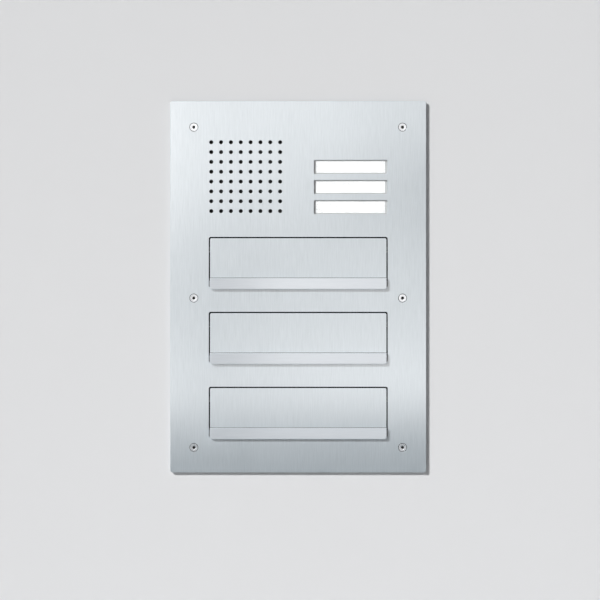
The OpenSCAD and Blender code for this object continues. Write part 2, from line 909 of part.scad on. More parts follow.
button_springs(1);  // button_springs_1
button_springs(2);  // button_springs_2
button_springs(3);  // button_springs_3
flap_plate(1);  // flap_plate_1
flap_plate(2);  // flap_plate_2
flap_plate(3);  // flap_plate_3
flap_grip(1);  // flap_grip_1
flap_grip(2);  // flap_grip_2
flap_grip(3);  // flap_grip_3
hinge_pin(1);  // hinge_pin_1
hinge_pin(2);  // hinge_pin_2
hinge_pin(3);  // hinge_pin_3
flap_springs(1);  // flap_springs_1
flap_springs(2);  // flap_springs_2
flap_springs(3);  // flap_springs_3
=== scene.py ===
"""Looks of a flush door station with letter flaps.

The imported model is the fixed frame. The front plate, flaps, grip strips, screws, windows,
springs and speaker mesh are rebuilt in finer mesh work; the other parts keep their shape
and most get rounded edges. Lengths are in metres. X runs to the right, the front faces -Y
and Z is up.
"""

import json
import math

import bmesh
import bpy
from mathutils import Matrix, Vector


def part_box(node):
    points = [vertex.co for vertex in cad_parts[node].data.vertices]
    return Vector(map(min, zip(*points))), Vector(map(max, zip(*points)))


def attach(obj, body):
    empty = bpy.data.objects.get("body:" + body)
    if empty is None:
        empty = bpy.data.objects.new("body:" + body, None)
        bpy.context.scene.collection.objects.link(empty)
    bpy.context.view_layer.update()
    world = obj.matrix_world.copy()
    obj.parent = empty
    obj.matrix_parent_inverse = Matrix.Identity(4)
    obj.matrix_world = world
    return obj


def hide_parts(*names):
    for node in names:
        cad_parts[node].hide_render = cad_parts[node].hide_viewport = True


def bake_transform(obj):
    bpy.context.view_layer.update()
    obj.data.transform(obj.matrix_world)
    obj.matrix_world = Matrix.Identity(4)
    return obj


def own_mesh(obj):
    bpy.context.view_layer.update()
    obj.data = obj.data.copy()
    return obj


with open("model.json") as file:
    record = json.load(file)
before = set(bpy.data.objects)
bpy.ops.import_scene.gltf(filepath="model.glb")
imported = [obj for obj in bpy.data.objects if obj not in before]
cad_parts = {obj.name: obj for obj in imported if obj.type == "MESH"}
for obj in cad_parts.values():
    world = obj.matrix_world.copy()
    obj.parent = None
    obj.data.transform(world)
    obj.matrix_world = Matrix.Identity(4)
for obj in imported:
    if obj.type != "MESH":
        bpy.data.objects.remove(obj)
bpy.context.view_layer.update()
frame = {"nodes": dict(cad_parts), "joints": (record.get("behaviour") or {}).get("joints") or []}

MM = 0.001
NODES = frame["nodes"]
JOINTS = {joint["name"]: joint for joint in frame["joints"]}
FLAPS = (1, 2, 3)
BUTTONS = (1, 2, 3)
SIDES = (-1, 1)
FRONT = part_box("front_panel")[0].y
PANEL_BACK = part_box("panel_gasket")[0].y

# Edges, corners, seams and sheets, which the frame's boxes don't show. FLAP_GAP is how far
# the letter openings reach past the flaps; FLAP_EASE is taken off each flap's outline.
PLATE_EDGE = 0.2 * MM
FLAP_EDGE = 0.15 * MM
PANEL_CORNER = 3.0 * MM
OPENING_CORNER = 3.0 * MM
FLAP_CORNER = 2.25 * MM
WINDOW_CORNER = 1.8 * MM
FLAP_GAP = 1.7 * MM
FLAP_EASE = 0.2 * MM
WINDOW_GAP = 0.5 * MM
FLAP_SHEET = 2.0 * MM
COVER_SHEET = 0.9 * MM
SCREW_SEAT = 6.4 * MM
SCREW_HEAD = 5.75 * MM
SCREW_SHANK = 3.0 * MM

# How much of the satin steel's light is mirrored; the rest is scattered by its grain
METAL_SHARE = 0.5

# Speech grille
GRILLE_HOLES = 8
GRILLE_PITCH = 14.45 * MM
GRILLE_RADIUS = 2.9 * MM


# ---------------------------------------------------------------- shader maths

class Value:
    """A number that varies over a surface: arithmetic on it adds Math nodes."""

    def __init__(self, finish, socket):
        self.finish = finish
        self.socket = socket

    def _math(self, operation, first, second):
        node = self.finish.node("ShaderNodeMath", {"operation": operation}, {0: first, 1: second})
        return Value(self.finish, node.outputs[0])

    def __add__(self, other):
        return self._math("ADD", self, other)

    __radd__ = __add__

    def __sub__(self, other):
        return self._math("SUBTRACT", self, other)

    def __rsub__(self, other):
        return self._math("SUBTRACT", other, self)

    def __mul__(self, other):
        return self._math("MULTIPLY", self, other)

    __rmul__ = __mul__

    def __pow__(self, other):
        return self._math("POWER", self, other)


class Finish:
    """One procedural material, built on a Principled shader."""

    def __init__(self, name, constants):
        self.material = bpy.data.materials.new(name)
        self.material.use_nodes = True
        self.tree = self.material.node_tree
        self.tree.nodes.clear()
        self.shader = self.node("ShaderNodeBsdfPrincipled", {}, constants)
        self.node("ShaderNodeOutputMaterial", {}, {"Surface": self.shader.outputs[0]})

    def node(self, kind, settings=None, values=None):
        """Adds a node: its settings first, then the values or links of its sockets."""
        made = self.tree.nodes.new(kind)
        for key, setting in (settings or {}).items():
            setattr(made, key, setting)
        for key, value in (values or {}).items():
            self.feed(made.inputs[key], value)
        return made

    def feed(self, socket, value):
        if isinstance(value, Value):
            value = value.socket
        if isinstance(value, bpy.types.NodeSocket):
            self.tree.links.new(value, socket)
        else:
            socket.default_value = value

    def set(self, socket_name, value):
        self.feed(self.shader.inputs[socket_name], value)

    def place(self, stretch):
        """Object coordinates, multiplied by stretch."""
        coordinates = self.node("ShaderNodeTexCoord")
        return self.node(
            "ShaderNodeMapping", {}, {"Vector": coordinates.outputs["Object"], "Scale": stretch},
        ).outputs[0]

    def coordinates(self):
        """The object coordinates X, Y and Z, as three values."""
        split = self.node("ShaderNodeSeparateXYZ", {}, {"Vector": self.place((1, 1, 1))})
        return [Value(self, output) for output in split.outputs]

    def noise(self, stretch, detail=3.0, roughness=0.55):
        """Noise from 0 to 1; stretch is how many features fit in a metre along each axis."""
        node = self.node(
            "ShaderNodeTexNoise", {},
            {"Vector": self.place(stretch), "Scale": 1.0, "Detail": detail, "Roughness": roughness},
        )
        return Value(self, node.outputs["Fac"])

    def cells(self, stretch):
        """Cells, as (distance from the middle, a random number for each cell)."""
        node = self.node(
            "ShaderNodeTexVoronoi", {}, {"Vector": self.place(stretch), "Scale": 1.0})
        grey = self.node("ShaderNodeSeparateColor", {}, {"Color": node.outputs["Color"]})
        return Value(self, node.outputs["Distance"]), Value(self, grey.outputs[0])

    def spread(self, value, low, high, start=0.0, end=1.0):
        """Maps start..end to low..high, held at both ends."""
        node = self.node(
            "ShaderNodeMapRange", {"clamp": True},
            {"Value": value, "From Min": start, "From Max": end, "To Min": low, "To Max": high},
        )
        return Value(self, node.outputs[0])

    def mix(self, amount, first, second):
        """A colour between two colours."""
        node = self.node("ShaderNodeMix", {"data_type": "RGBA"})
        factor, first_colour, second_colour = node.inputs[0], node.inputs[6], node.inputs[7]
        self.feed(factor, amount)
        self.feed(first_colour, first)
        self.feed(second_colour, second)
        return node.outputs[2]

    def bump(self, height, depth, strength=1.0):
        bump = self.node(
            "ShaderNodeBump", {}, {"Strength": strength, "Distance": depth, "Height": height})
        self.set("Normal", bump.outputs[0])


def colour(red, green, blue):
    return (red, green, blue, 1.0)


# ---------------------------------------------------------------- finishes

def brushed_steel(name, across, along, turn, dark, light):
    """Stainless steel with a drawn grain: across and along are features in a metre."""
    finish = Finish(name, {
        "Metallic": METAL_SHARE, "Anisotropic": 0.75, "Anisotropic Rotation": turn,
    })
    fine = finish.noise(along(2400, 16), detail=4.0, roughness=0.7)
    dash = finish.noise(along(650, 38), detail=3.0, roughness=0.6)
    cloud = finish.noise(along(14, 6), detail=2.0)
    tone = fine * 0.35 + dash * 0.5 + cloud * 0.15
    finish.set("Base Color", finish.mix(finish.spread(tone, 0, 1, 0.3, 0.7), dark, light))
    finish.set("Roughness", finish.spread(tone, 0.30, 0.40, 0.35, 0.65))
    finish.bump(fine * 0.6 + dash * 0.4, 0.01 * MM, across)
    return finish


def upright_grain(across, along):
    return (across, across, along)


def level_grain(across, along):
    return (along, across, across)


def panel_steel():
    dark, light = colour(0.54, 0.61, 0.655), colour(0.655, 0.725, 0.775)
    return brushed_steel("panel_steel", 0.35, upright_grain, 0.0, dark, light)


def grip_steel():
    dark, light = colour(0.63, 0.695, 0.75), colour(0.70, 0.76, 0.815)
    return brushed_steel("grip_steel", 0.3, level_grain, 0.25, dark, light)


def screw_steel():
    """Turned heads: fine rings round the screw's own axis, and a socket painted black as shade,
    darker with depth.
    """
    finish = Finish("screw_steel", {})
    rings = finish.node(
        "ShaderNodeTexWave",
        {"wave_type": "RINGS", "rings_direction": "Y"},
        {"Vector": finish.place((1, 1, 1)), "Scale": 900.0, "Distortion": 1.5, "Detail": 2.0},
    )
    turned = Value(finish, rings.outputs["Fac"])
    speck = finish.noise((900, 900, 900))
    bright = finish.mix(
        turned * 0.6 + speck * 0.4, colour(0.70, 0.765, 0.82), colour(0.83, 0.89, 0.94))
    _, depth, _ = finish.coordinates()
    # Painted shade: the socket and its pin turn black, matt and unmetallic with depth below the
    # head
    painted_socket_shade = finish.spread(depth, 0, 1, 0.25 * MM, 0.6 * MM)
    finish.set("Base Color", finish.mix(painted_socket_shade, bright, colour(0.012, 0.012, 0.013)))
    finish.set("Metallic", finish.spread(painted_socket_shade, 0.85, 0.1))
    finish.set("Roughness", finish.spread(turned * 0.5 + painted_socket_shade, 0.22, 0.75, 0.0, 1.2))
    finish.bump(turned, 0.01 * MM, 0.4)
    return finish


def galvanised_steel():
    """Zinc spangle: flat crystals that each catch the light a little differently."""
    finish = Finish("galvanised_steel", {"Metallic": 0.85})
    edge, crystal = finish.cells((95, 95, 95))
    fine = finish.noise((420, 420, 420), detail=4.0)
    stain = finish.noise((7, 7, 7), detail=4.0)
    tone = crystal * 0.55 + fine * 0.2 + stain * 0.25
    finish.set("Base Color", finish.mix(tone, colour(0.47, 0.49, 0.51), colour(0.70, 0.72, 0.74)))
    finish.set("Roughness", finish.spread(crystal, 0.34, 0.56))
    finish.bump(edge * 0.3 + fine * 0.7, 0.03 * MM, 0.35)
    return finish


def mill_steel():
    """Plain rolled sheet: long faint lines along the rolling direction."""
    finish = Finish("mill_steel", {"Metallic": 0.88})
    line = finish.noise((520, 6, 520), detail=3.0)
    cloud = finish.noise((16, 10, 16), detail=3.0)
    tone = line * 0.5 + cloud * 0.5
    finish.set("Base Color", finish.mix(tone, colour(0.34, 0.35, 0.36), colour(0.46, 0.47, 0.48)))
    finish.set("Roughness", finish.spread(tone, 0.46, 0.60))
    finish.bump(line, 0.01 * MM, 0.3)
    return finish


def zinc_plate(name, dark, light):
    finish = Finish(name, {"Metallic": 0.9})
    cloud = finish.noise((160, 160, 160), detail=4.0)
    grain = finish.noise((1900, 1900, 1900), detail=2.0)
    finish.set("Base Color", finish.mix(cloud, dark, light))
    finish.set("Roughness", finish.spread(grain, 0.24, 0.42))
    finish.bump(grain, 0.01 * MM, 0.3)
    return finish


def microphone_can():
    """A drawn metal can with black felt over its open front."""
    finish = Finish("microphone_can", {})
    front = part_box("microphone")[0].y
    _, depth, _ = finish.coordinates()
    metal = finish.spread(depth, 0, 1, front + 0.1 * MM, front + 0.2 * MM)
    grain = finish.noise((1900, 1900, 1900), detail=2.0)
    felt, can = colour(0.02, 0.02, 0.022), colour(0.76, 0.77, 0.79)
    finish.set("Base Color", finish.mix(metal, felt, can))
    finish.set("Metallic", metal * 0.9)
    finish.set("Roughness", finish.spread(grain, 0.24, 0.42))
    finish.bump(grain, 0.01 * MM, 0.3)
    return finish


def drawn_wire(name, dark, light):
    """Wire or rod with faint drawing marks."""
    finish = Finish(name, {"Metallic": 0.95})
    mark = finish.noise((90, 2600, 2600), detail=3.0)
    cloud = finish.noise((120, 120, 120), detail=2.0)
    finish.set("Base Color", finish.mix(cloud, dark, light))
    finish.set("Roughness", finish.spread(mark, 0.20, 0.36))
    finish.bump(mark, 0.005 * MM, 0.4)
    return finish


def rubber(name, grain):
    finish = Finish(name, {"IOR": 1.5})
    fine = finish.noise((grain, grain, grain), detail=4.0)
    dust = finish.noise((40, 40, 40), detail=4.0)
    finish.set("Base Color", finish.mix(
        dust, colour(0.022, 0.022, 0.024), colour(0.060, 0.060, 0.063)))
    finish.set("Roughness", finish.spread(dust, 0.62, 0.82))
    finish.bump(fine, 0.05 * MM, 0.5)
    return finish


def moulded(name, shade, grain, low, high, depth=0.03):
    """Moulded plastic with a spark-eroded texture; shade is its colour."""
    finish = Finish(name, {"IOR": 1.46})
    fine = finish.noise((grain, grain, grain), detail=3.0)
    cloud = finish.noise((22, 22, 22), detail=3.0)
    darker = colour(*(channel * 0.86 for channel in shade))
    finish.set("Base Color", finish.mix(cloud, darker, colour(*shade)))
    finish.set("Roughness", finish.spread(cloud * 0.5 + fine * 0.5, low, high, 0.3, 0.7))
    finish.bump(fine, depth * MM, 0.4)
    return finish


def satin_cap():
    finish = Finish("satin_cap", {"IOR": 1.49})
    cloud = finish.noise((60, 60, 60), detail=2.0)
    grain = finish.noise((1100, 1100, 1100), detail=2.0)
    finish.set("Base Color", finish.mix(cloud, colour(0.60, 0.61, 0.62), colour(0.66, 0.67, 0.68)))
    finish.set("Roughness", finish.spread(cloud, 0.38, 0.48))
    finish.bump(grain, 0.02 * MM, 0.3)
    return finish


def label_card():
    """Blank card under the cover, lit evenly from behind."""
    finish = Finish("label_card", {"IOR": 1.4, "Emission Strength": 0.52})
    fibre = finish.noise((900, 900, 260), detail=4.0)
    finish.set("Base Color", finish.mix(fibre, colour(0.90, 0.90, 0.89), colour(0.97, 0.97, 0.965)))
    finish.set("Emission Color", finish.mix(fibre, colour(0.95, 0.96, 0.97), colour(1, 1, 0.99)))
    finish.set("Roughness", finish.spread(fibre, 0.70, 0.86))
    finish.bump(fibre, 0.01 * MM, 0.3)
    return finish


def clear_cover():
    """Polished acrylic: nearly invisible face on, glossy towards its edges."""
    finish = Finish("clear_cover", {"IOR": 1.49, "Coat Roughness": 0.02})
    haze = finish.noise((300, 300, 300), detail=2.0)
    weight = finish.node("ShaderNodeLayerWeight", {}, {"Blend": 0.35})
    facing = Value(finish, weight.outputs["Facing"])
    finish.set("Base Color", finish.mix(haze, colour(0.93, 0.95, 0.96), colour(0.98, 0.99, 1.0)))
    finish.set("Roughness", finish.spread(haze, 0.03, 0.07))
    finish.set("Alpha", finish.spread(facing, 0.10, 0.75))
    return finish


def pressed_paper():
    finish = Finish("pressed_paper", {"IOR": 1.4})
    fibre = finish.noise((700, 700, 700), detail=5.0)
    finish.set("Base Color", finish.mix(
        fibre, colour(0.030, 0.028, 0.026), colour(0.085, 0.080, 0.074)))
    finish.set("Roughness", finish.spread(fibre, 0.72, 0.90))
    finish.bump(fibre, 0.05 * MM, 0.6)
    return finish


def ferrite():
    finish = Finish("ferrite", {"Metallic": 0.25})
    pit = finish.noise((800, 800, 800), detail=5.0)
    finish.set("Base Color", finish.mix(pit, colour(0.07, 0.07, 0.075), colour(0.17, 0.17, 0.175)))
    finish.set("Roughness", finish.spread(pit, 0.48, 0.72))
    finish.bump(pit, 0.05 * MM, 0.5)
    return finish


def solder_mask():
    """Green board with darker bare gaps between its copper areas."""
    finish = Finish("solder_mask", {"IOR": 1.5, "Coat Weight": 0.4})
    distance, area = finish.cells((150, 150, 150))
    weave = finish.noise((1200, 1200, 1200), detail=2.0)
    copper = finish.spread(area, 0.0, 1.0, 0.45, 0.5)
    finish.set("Base Color", finish.mix(
        copper, colour(0.010, 0.085, 0.040), colour(0.030, 0.190, 0.085)))
    finish.set("Roughness", finish.spread(weave, 0.22, 0.34))
    finish.bump(copper * 0.7 + distance * 0.3, 0.03 * MM, 0.4)
    return finish


# ---------------------------------------------------------------- mesh work

def rounded(width, height, radius, x=0.0, z=0.0, steps=8):
    """A rectangle's outline with round corners, anticlockwise from its right side."""
    points = []
    for turn, (sign_x, sign_z) in enumerate(((1, 1), (-1, 1), (-1, -1), (1, -1))):
        middle_x = x + sign_x * (width / 2 - radius)
        middle_z = z + sign_z * (height / 2 - radius)
        for k in range(steps + 1):
            angle = math.radians(90) * (turn + k / steps)
            points.append((
                middle_x + radius * math.cos(angle), middle_z + radius * math.sin(angle)))
    return points


def circle(radius, x=0.0, z=0.0, steps=40):
    angles = [math.tau * k / steps for k in range(steps)]
    return [(x + radius * math.cos(a), z + radius * math.sin(a)) for a in angles]


def piece(name, mesh, finish, body, replaces=()):
    """Puts a finished mesh in the scene, riding on a body."""
    made = bpy.data.objects.new(name, mesh)
    bpy.context.collection.objects.link(made)
    made.data.materials.clear()
    made.data.materials.append(finish.material)
    if body:
        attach(made, body)
    if replaces:
        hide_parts(*replaces)
    return made


def even_shading(made, angle=35):
    """Smooth over the rounded edges, flat over the flat faces."""
    made.data.shade_smooth()
    made.data.set_sharp_from_angle(angle=math.radians(angle))
    modifier = made.modifiers.new("even_shading", "WEIGHTED_NORMAL")
    modifier.keep_sharp = True
    modifier.weight = 80


def welded(mesh):
    """Merges the points that coincide and points all faces outwards."""
    work = bmesh.new()
    work.from_mesh(mesh)
    bmesh.ops.remove_doubles(work, verts=work.verts, dist=0.001 * MM)
    bmesh.ops.recalc_face_normals(work, faces=work.faces)
    work.to_mesh(mesh)
    work.free()
    return mesh


def joined(name, meshes):
    work = bmesh.new()
    for mesh in meshes:
        work.from_mesh(mesh)
        bpy.data.meshes.remove(mesh)
    result = bpy.data.meshes.new(name)
    work.to_mesh(result)
    work.free()
    return result


def curve_mesh(curve):
    holder = bpy.data.objects.new(curve.name, curve)
    bpy.context.collection.objects.link(holder)
    mesh = bpy.data.meshes.new_from_object(holder)
    bpy.data.objects.remove(holder)
    bpy.data.curves.remove(curve)
    return mesh


def plate(name, outline, holes, front, back, edge, normal="y"):
    """A flat sheet with round edges, from an outline and holes in X and Z, or Y and Z."""
    curve = bpy.data.curves.new(name, "CURVE")
    curve.dimensions = "2D"
    curve.fill_mode = "BOTH"
    curve.extrude = (back - front) / 2 - edge
    curve.bevel_depth = edge
    curve.bevel_resolution = 2
    curve.offset = -edge
    for path in [outline, *(hole[::-1] for hole in holes)]:
        spline = curve.splines.new("POLY")
        spline.points.add(len(path) - 1)
        for point, (across, up) in zip(spline.points, path):
            point.co = (across, up, 0, 1)
        spline.use_cyclic_u = True
    mesh = curve_mesh(curve)
    middle = (front + back) / 2
    if normal == "y":
        mesh.transform(Matrix.Translation((0, middle, 0)) @ Matrix.Rotation(math.pi / 2, 4, "X"))
    else:
        turn = Matrix(((0, 0, 1, middle), (1, 0, 0, 0), (0, 1, 0, 0), (0, 0, 0, 1)))
        mesh.transform(turn)
    return welded(mesh)


def turned(name, rings, steps=48):
    """A solid turned round the Y axis, from (radius, y, sides); sides 6 makes a hexagon."""
    work = bmesh.new()
    loops = []
    for radius, y, sides in rings:
        if radius == 0:
            loops.append([work.verts.new((0, y, 0))])
            continue
        loop = []
        for k in range(steps):
            angle = math.tau * k / steps
            reach = radius
            if sides:
                half = math.pi / sides
                reach = radius * math.cos(half) / math.cos((angle % (2 * half)) - half)
            loop.append(work.verts.new((reach * math.cos(angle), y, reach * math.sin(angle))))
        loops.append(loop)
    for first, second in zip(loops, loops[1:]):
        for k in range(steps):
            after = (k + 1) % steps
            if len(first) == 1:
                work.faces.new((first[0], second[after], second[k]))
            elif len(second) == 1:
                work.faces.new((first[k], first[after], second[0]))
            else:
                work.faces.new((first[k], first[after], second[after], second[k]))
    mesh = bpy.data.meshes.new(name)
    bmesh.ops.recalc_face_normals(work, faces=work.faces)
    work.to_mesh(mesh)
    work.free()
    return mesh


def wire(name, points, radius, sides=3):
    """Round wire along a path."""
    curve = bpy.data.curves.new(name, "CURVE")
    curve.dimensions = "3D"
    curve.bevel_depth = radius
    curve.bevel_resolution = sides
    curve.use_fill_caps = True
    spline = curve.splines.new("POLY")
    spline.points.add(len(points) - 1)
    for point, place in zip(spline.points, points):
        point.co = (*place, 1)
    return welded(curve_mesh(curve))


def solids(node):
    """The (lowest, highest) corner of each separate solid of a CAD node.

    They come row by row from the top left, so that every run numbers them alike: the set
    that they are searched in has no order of its own.
    """
    digits = 5
    work = bmesh.new()
    work.from_mesh(NODES[node].data)
    bmesh.ops.remove_doubles(work, verts=work.verts, dist=0.001 * MM)
    left = set(work.verts)
    found = []
    while left:
        edge = [left.pop()]
        island = []
        while edge:
            vert = edge.pop()
            island.append(vert.co.copy())
            for link in vert.link_edges:
                other = link.other_vert(vert)
                if other in left:
                    left.remove(other)
                    edge.append(other)
        lows = Vector([min(point[axis] for point in island) for axis in range(3)])
        highs = Vector([max(point[axis] for point in island) for axis in range(3)])
        found.append((lows, highs))
    work.free()
    return sorted(found, key=lambda corners: [
        round(value, digits) for value in (-corners[0].z, corners[0].x, corners[0].y)])


def left_and_right(node):
    """A pair of solids with the side that each is on."""
    return zip(SIDES, sorted(solids(node), key=lambda corners: corners[0].x))


def centre(low, high):
    return (low + high) / 2


def dress(nodes, finish, edge=None, segments=2):
    """Gives CAD nodes a finish and, where edge is given, rounded edges."""
    sharp = math.radians(40)
    for node in nodes:
        made = NODES[node]
        made.data.materials.clear()
        made.data.materials.append(finish.material)
        if edge:
            modifier = made.modifiers.new("rounded_edges", "BEVEL")
            modifier.width = edge
            modifier.segments = segments
            modifier.limit_method = "ANGLE"
            modifier.angle_limit = sharp
            modifier.harden_normals = True


# ---------------------------------------------------------------- front plate

def grille_places():
    middle = centre(*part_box("grille_mesh"))
    steps = [(k - (GRILLE_HOLES - 1) / 2) * GRILLE_PITCH for k in range(GRILLE_HOLES)]
    return [(middle.x + dx, middle.z + dz) for dx in steps for dz in steps]


def outline_of(node, corner, grow=0.0):
    """The outline of a CAD node seen from the front, grown by grow."""
    low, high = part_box(node)
    middle = centre(low, high)
    width = high.x - low.x + 2 * grow
    height = high.z - low.z + 2 * grow
    return rounded(width, height, corner, middle.x, middle.z)


def weld_studs():
    """The studs on the back of the plate, one through each nut."""
    studs = []
    past_nut = 1.5 * MM
    chamfer = 0.4 * MM
    for node, radius in (("stud_nuts", 2.0 * MM), ("small_nuts", 1.5 * MM)):
        for low, high in solids(node):
            middle = centre(low, high)
            end = high.y + past_nut
            stud = turned("stud", [
                (0, PANEL_BACK - chamfer, 0), (radius, PANEL_BACK - chamfer, 0),
                (radius, end - chamfer, 0), (radius - chamfer, end, 0), (0, end, 0),
            ], steps=20)
            stud.transform(Matrix.Translation((middle.x, 0, middle.z)))
            studs.append(stud)
    return studs


def screw_places():
    middles = [centre(low, high) for low, high in solids("panel_screws")]
    return [(middle.x, middle.z) for middle in middles]


def screw_seats(finish):
    """The countersinks, painted near black as the shade of a deep narrow gap."""
    seats = []
    bore = SCREW_SHANK + 0.3 * MM
    for x, z in screw_places():
        seat = turned("seat", [
            (SCREW_SEAT, FRONT + PLATE_EDGE, 0), (bore, FRONT + PLATE_EDGE + SCREW_SEAT - bore, 0)])
        seat.transform(Matrix.Translation((x, 0, z)))
        seats.append(seat)
    mesh = joined("screw_seats", seats)
    mesh.shade_smooth()
    piece("screw_seats", mesh, finish, "station", ["front_panel"])


def front_plate(finish):
    low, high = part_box("front_panel")
    holes = [outline_of(f"flap_plate_{n}", OPENING_CORNER, FLAP_GAP) for n in FLAPS]
    holes += [outline_of(f"label_window_{n}", WINDOW_CORNER, WINDOW_GAP) for n in BUTTONS]
    holes += [circle(GRILLE_RADIUS, x, z, 28) for x, z in grille_places()]
    holes += [circle(SCREW_SEAT, *place) for place in screw_places()]
    outline = rounded(high.x - low.x, high.z - low.z, PANEL_CORNER)
    sheet = plate("front_plate", outline, holes, FRONT, PANEL_BACK, PLATE_EDGE)
    mesh = joined("front_plate", [sheet, *weld_studs()])
    even_shading(piece("front_plate", mesh, finish, "station", ["front_panel"]))


def panel_screws(finish):
    """Countersunk security screws: a hexagon socket with a guard pin in it."""
    head, shank, socket, pin = SCREW_HEAD, SCREW_SHANK, 2.5 * MM, 0.6 * MM
    rim, depth, proud = 0.25 * MM, 2.2 * MM, 0.7 * MM
    pin_edge, head_edge, tip = 0.2 * MM, 0.1 * MM, 0.8 * MM
    for number, (low, high) in enumerate(solids("panel_screws"), 1):
        middle = centre(low, high)
        length = high.y - low.y
        mesh = turned("panel_screw", [
            (0, proud, 0), (pin - pin_edge, proud, 0), (pin, proud + pin_edge, 0),
            (pin, depth, 0), (socket, depth, 6), (socket, rim, 6),
            (socket + rim, 0, 0), (head - rim, 0, 0), (head - head_edge, head_edge, 0),
            (head, rim, 0), (shank, head - shank, 0), (shank, length - tip, 0),
            (shank - tip, length, 0), (0, length, 0),
        ])
        made = piece(f"panel_screw_{number}", mesh, finish, None)
        made.location = (middle.x, low.y, middle.z)
        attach(made, "station")
        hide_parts("panel_screws")
        even_shading(made, 30)


def speaker_mesh(finish):
    """Crossed black wires behind the speech holes."""
    low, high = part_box("grille_mesh")
    pitch, radius, sides = 1.3 * MM, 0.2 * MM, 6
    count = int((high.x - low.x - 2 * radius) / pitch)
    work = bmesh.new()
    middle = centre(low, high)
    half = (high.x - low.x) / 2
    for y, way in ((low.y + radius, "x"), (high.y - radius, "z")):
        for k in range(count + 1):
            offset = (k - count / 2) * pitch
            rings = []
            for end in (-half, half):
                ring = []
                for s in range(sides):
                    angle = math.tau * s / sides
                    step = offset + radius * math.cos(angle)
                    across, up = (end, step) if way == "x" else (step, end)
                    ring.append(work.verts.new((
                        middle.x + across, y + radius * math.sin(angle), middle.z + up)))
                rings.append(ring)
            for s in range(sides):
                after = (s + 1) % sides
                work.faces.new((rings[0][s], rings[0][after], rings[1][after], rings[1][s]))
            work.faces.new(rings[0][::-1])
            work.faces.new(rings[1])
    bmesh.ops.recalc_face_normals(work, faces=work.faces)
    mesh = bpy.data.meshes.new("speaker_mesh")
    work.to_mesh(mesh)
    work.free()
    mesh.shade_smooth()
    piece("speaker_mesh", mesh, finish, "station", ["grille_mesh"])


# ---------------------------------------------------------------- bell buttons

def label_cover(button, finish):
    low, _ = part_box(f"label_window_{button}")
    mesh = plate(
        "label_cover", outline_of(f"label_window_{button}", WINDOW_CORNER - WINDOW_GAP), [],
        low.y, low.y + COVER_SHEET, 0.2 * MM)
    even_shading(piece(
        f"label_cover_{button}", mesh, finish, f"button_{button}",
        [f"label_window_{button}"]))


def button_return_springs(button, finish):
    """Two small compression springs, drawn at rest on the station."""
    travel, radius_of_wire = 1.2 * MM, 0.3 * MM
    turns, per_turn = 6, 24
    for side, (low, high) in left_and_right(f"button_springs_{button}"):
        middle = centre(low, high)
        coil = (high.x - low.x) / 2 - radius_of_wire
        start, end = low.y + radius_of_wire, high.y - radius_of_wire
        points = []
        for k in range(turns * per_turn + 1):
            angle = math.tau * k / per_turn
            share = k / (turns * per_turn)
            y = start + (end - start) * share
            points.append((middle.x + coil * math.cos(angle), y, middle.z + coil * math.sin(angle)))
        name = f"button_spring_{button}_{'left' if side < 0 else 'right'}"
        mesh = wire(name, points, radius_of_wire, 2)
        mesh.shade_smooth()
        made = piece(
            name, mesh, finish, "station", [f"button_springs_{button}"])
        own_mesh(made)


# ---------------------------------------------------------------- letter flaps

def flap_sheet(flap, finish):
    """The flap's plate with an ear for the hinge pin near each end."""
    _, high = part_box(f"flap_plate_{flap}")
    pivot = Vector(JOINTS[f"flap_{flap}_hinge"]["pos_m"])
    ear_inset, ear_sheet, ear_radius, pin_radius = 4.7 * MM, 1.5 * MM, 4.2 * MM, 1.5 * MM
    back = FRONT + FLAP_SHEET
    root = back - 0.5 * MM
    outline = outline_of(f"flap_plate_{flap}", FLAP_CORNER, -FLAP_EASE)
    meshes = [plate("flap_sheet", outline, [], FRONT, back, FLAP_EDGE)]
    arc = [
        (pivot.y + ear_radius * math.cos(a), pivot.z + ear_radius * math.sin(a))
        for a in (math.radians(-90 + 15 * k) for k in range(13))
    ]
    ear = [(root, pivot.z - ear_radius), *arc, (root, pivot.z + ear_radius)]
    hole = circle(pin_radius, pivot.y, pivot.z, 24)
    for side in SIDES:
        inner = side * (high.x - ear_inset)
        faces = sorted((inner, inner + side * ear_sheet))
        meshes.append(plate("ear", ear, [hole], *faces, FLAP_EDGE, normal="x"))
    mesh = joined(f"flap_sheet_{flap}", meshes)
    even_shading(piece(
        f"flap_sheet_{flap}", mesh, finish, f"flap_{flap}", [f"flap_plate_{flap}"]))


def grip_profile(low, high, lift, shrink):
    """The strip's section in Y and Z, with its foot lifted and its edges drawn in."""
    foot_sheet, groove = 1.8 * MM, 8.0 * MM
    front, back = low.y + shrink, high.y
    top, foot = high.z - shrink, low.z + lift + shrink
    soft, crisp = 0.7 * MM, 0.35 * MM
    quarter = [(math.sin(a), math.cos(a)) for a in (math.radians(90 * k / 4) for k in range(5))]
    points = [(back, top)]
    points += [
        (front + soft - soft * sine, top - soft + soft * cosine) for sine, cosine in quarter]
    points += [
        (front + soft - soft * cosine, foot + soft - soft * sine) for sine, cosine in quarter]
    inner = low.y + foot_sheet
    points += [
        (inner - crisp + crisp * sine, foot + crisp - crisp * cosine) for sine, cosine in quarter]
    ceiling = low.z + groove
    points += [(inner, ceiling), (back, ceiling)]
    return points


